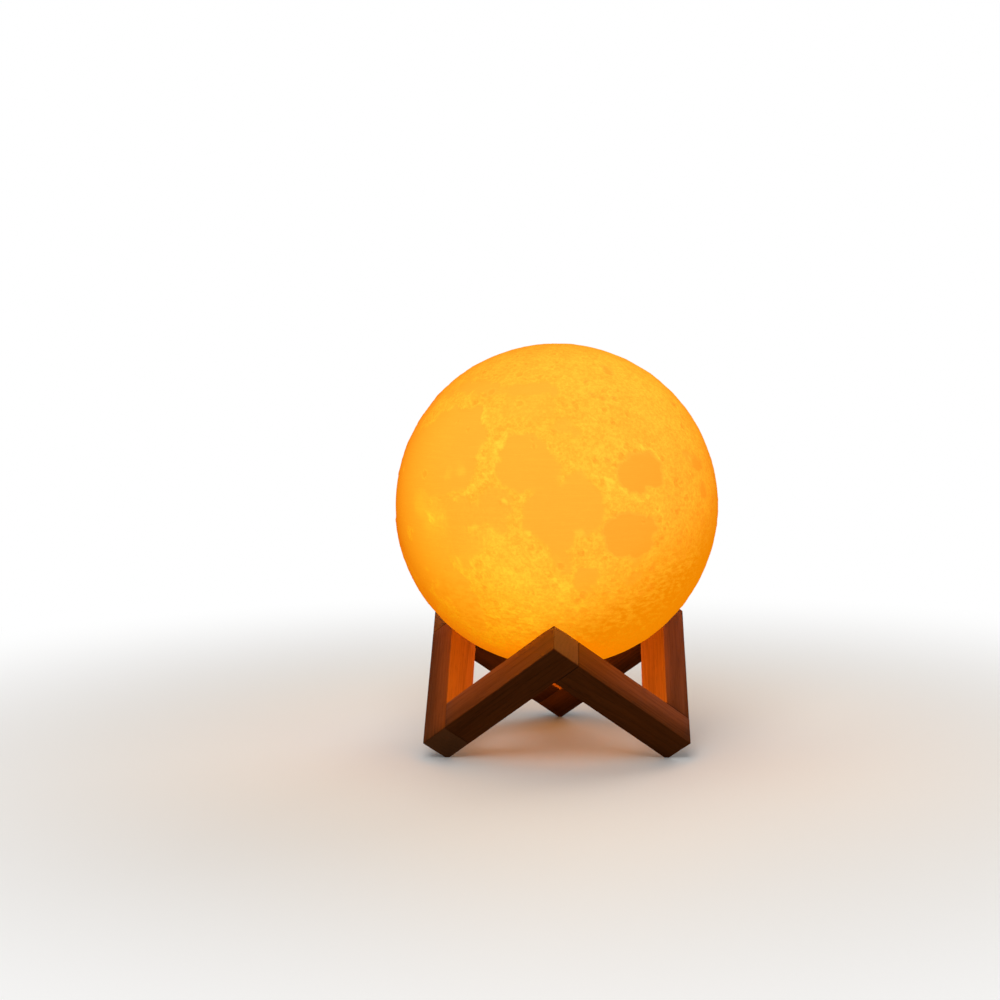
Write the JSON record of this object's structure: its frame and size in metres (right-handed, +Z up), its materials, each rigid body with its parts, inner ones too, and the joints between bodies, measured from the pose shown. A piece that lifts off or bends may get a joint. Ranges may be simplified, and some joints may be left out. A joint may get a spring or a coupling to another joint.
{
  "type": "moon table lamp",
  "caption": "Lit globe with moon relief that rests loose in a zigzag stand of square wooden bars; touch ring and charging socket underneath.",
  "frame": {"origin": "on the table, on the upright axis through the globe and the stand", "axes": "+Z up; the stand's front peak points to -Y, and +X is to the right seen from the front"},
  "size_m": [0.1494, 0.1491, 0.1872],
  "materials": {
    "moon_print": "printed in fine layers, lit amber from inside",
    "bar_wood": "sanded beech-like wood, fine straight grain",
    "dowel_wood": "plain dowel",
    "white_plastic": "moulded, satin",
    "black_plastic": "moulded, dull",
    "ring_chrome": "polished",
    "contact_brass": "bright",
    "clear_plastic": "clear moulding",
    "red_led": "small chip",
    "board_green": "solder mask",
    "part_brown": "small board parts",
    "screw_steel": "plated",
    "cell_steel": "nickel plated",
    "sleeve_blue": "shrunk film",
    "foam_grey": "foam",
    "lead_red": "lead insulation",
    "lead_white": "lead insulation",
    "board_aluminium": "white solder mask on aluminium",
    "warm_led": "lit chips",
    "cool_led": "unlit chips"
  },
  "bodies": {
    "stand": {"front_left_bar": "bar_wood", "front_right_bar": "bar_wood", "left_bar": "bar_wood", "right_bar": "bar_wood", "back_left_bar": "bar_wood", "back_right_bar": "bar_wood", "glued_dowels": "dowel_wood", "push_dowels": "dowel_wood"},
    "moon": {"moon_shell": "moon_print", "mounting_collar": "white_plastic", "base_cap": "white_plastic", "cap_screws": "screw_steel", "touch_ring": "ring_chrome", "touch_pin": "contact_brass", "socket_body": "black_plastic", "socket_pin": "contact_brass", "light_pipe": "clear_plastic", "indicator_led": "red_led", "control_board": "board_green", "control_chips": "black_plastic", "board_passives": "part_brown", "board_screws": "screw_steel", "lamp_post": "white_plastic", "post_screws": "screw_steel", "battery_cell": "cell_steel", "battery_sleeve": "sleeve_blue", "battery_tabs": "cell_steel", "foam_pads": "foam_grey", "battery_leads": "lead_red", "led_board": "board_aluminium", "warm_leds": "warm_led", "cool_leds": "cool_led", "led_screws": "screw_steel", "led_leads": "lead_white"}
  },
  "joints": [
    {"name": "moon_lift", "type": "slide", "parent": "stand", "child": "moon", "axis": [0, 0, 1], "range_m": [0, 0.08]}
  ]
}
